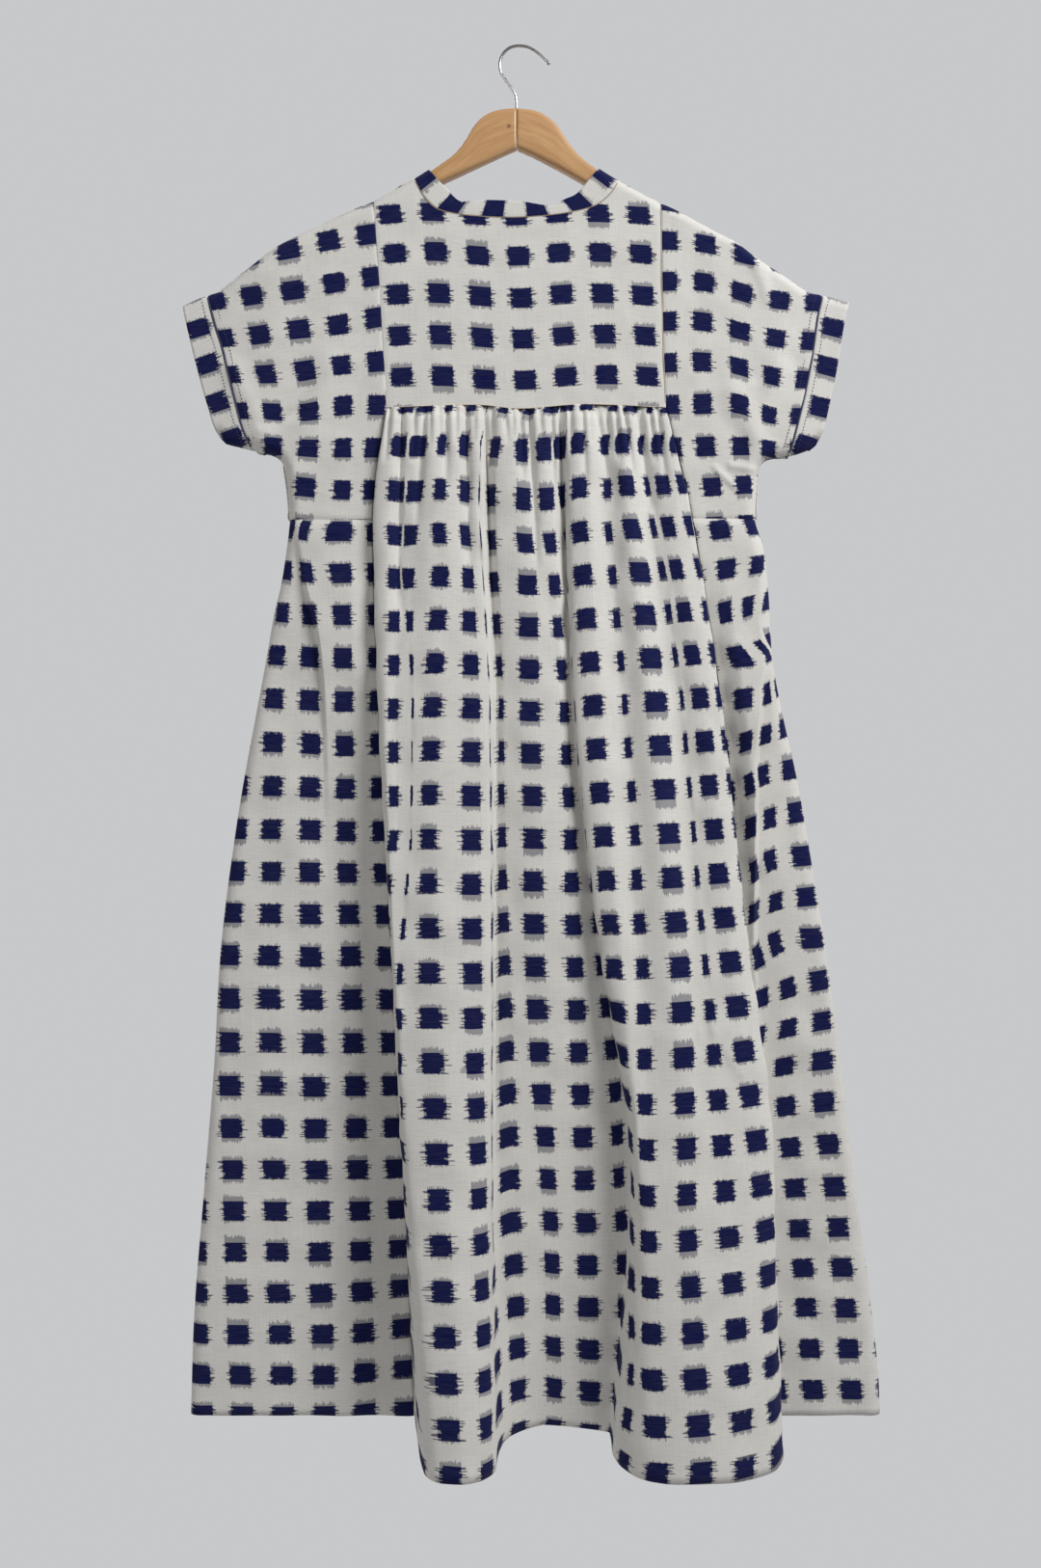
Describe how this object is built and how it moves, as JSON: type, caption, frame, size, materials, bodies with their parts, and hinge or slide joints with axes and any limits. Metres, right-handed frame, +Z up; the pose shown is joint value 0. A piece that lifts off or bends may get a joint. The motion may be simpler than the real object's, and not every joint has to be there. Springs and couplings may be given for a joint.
{
  "type": "ikat dress on a wooden hanger",
  "caption": "Loose cotton dress with a yoke, a gathered back panel, cap sleeves and a band collar, hanging on a wooden hanger with a wire hook.",
  "frame": {"origin": "inside top of the hanger's hook, where the rail carries it", "axes": "+Z up along the hanging dress, -Y out of the dress's back, which the picture shows, +X to the right as seen there"},
  "size_m": [0.643, 0.1119, 1.2911],
  "materials": {
    "yoke_cotton": "matt handloom cotton",
    "collar_cotton": "matt handloom cotton",
    "panel_cotton": "matt handloom cotton",
    "left_back_cotton": "matt handloom cotton",
    "right_back_cotton": "matt handloom cotton",
    "left_side_cotton": "matt handloom cotton",
    "right_side_cotton": "matt handloom cotton",
    "front_bodice_cotton": "matt handloom cotton",
    "front_skirt_cotton": "matt handloom cotton",
    "left_band_cotton": "matt handloom cotton",
    "right_band_cotton": "matt handloom cotton",
    "left_arm_wood": "clear varnish",
    "right_arm_wood": "clear varnish",
    "hook_steel": "plated wire"
  },
  "bodies": {
    "root": {"back_yoke": "yoke_cotton", "collar_band": "collar_cotton", "back_skirt": "panel_cotton", "back_side_left": "left_back_cotton", "back_side_right": "right_back_cotton", "side_skirt_left": "left_side_cotton", "side_skirt_right": "right_side_cotton", "front_bodice": "front_bodice_cotton", "front_skirt": "front_skirt_cotton", "sleeve_band_left": "left_band_cotton", "sleeve_band_right": "right_band_cotton", "hanger_arm_left": "left_arm_wood", "hanger_arm_right": "right_arm_wood", "hanger_hook": "hook_steel"}
  },
  "joints": []
}
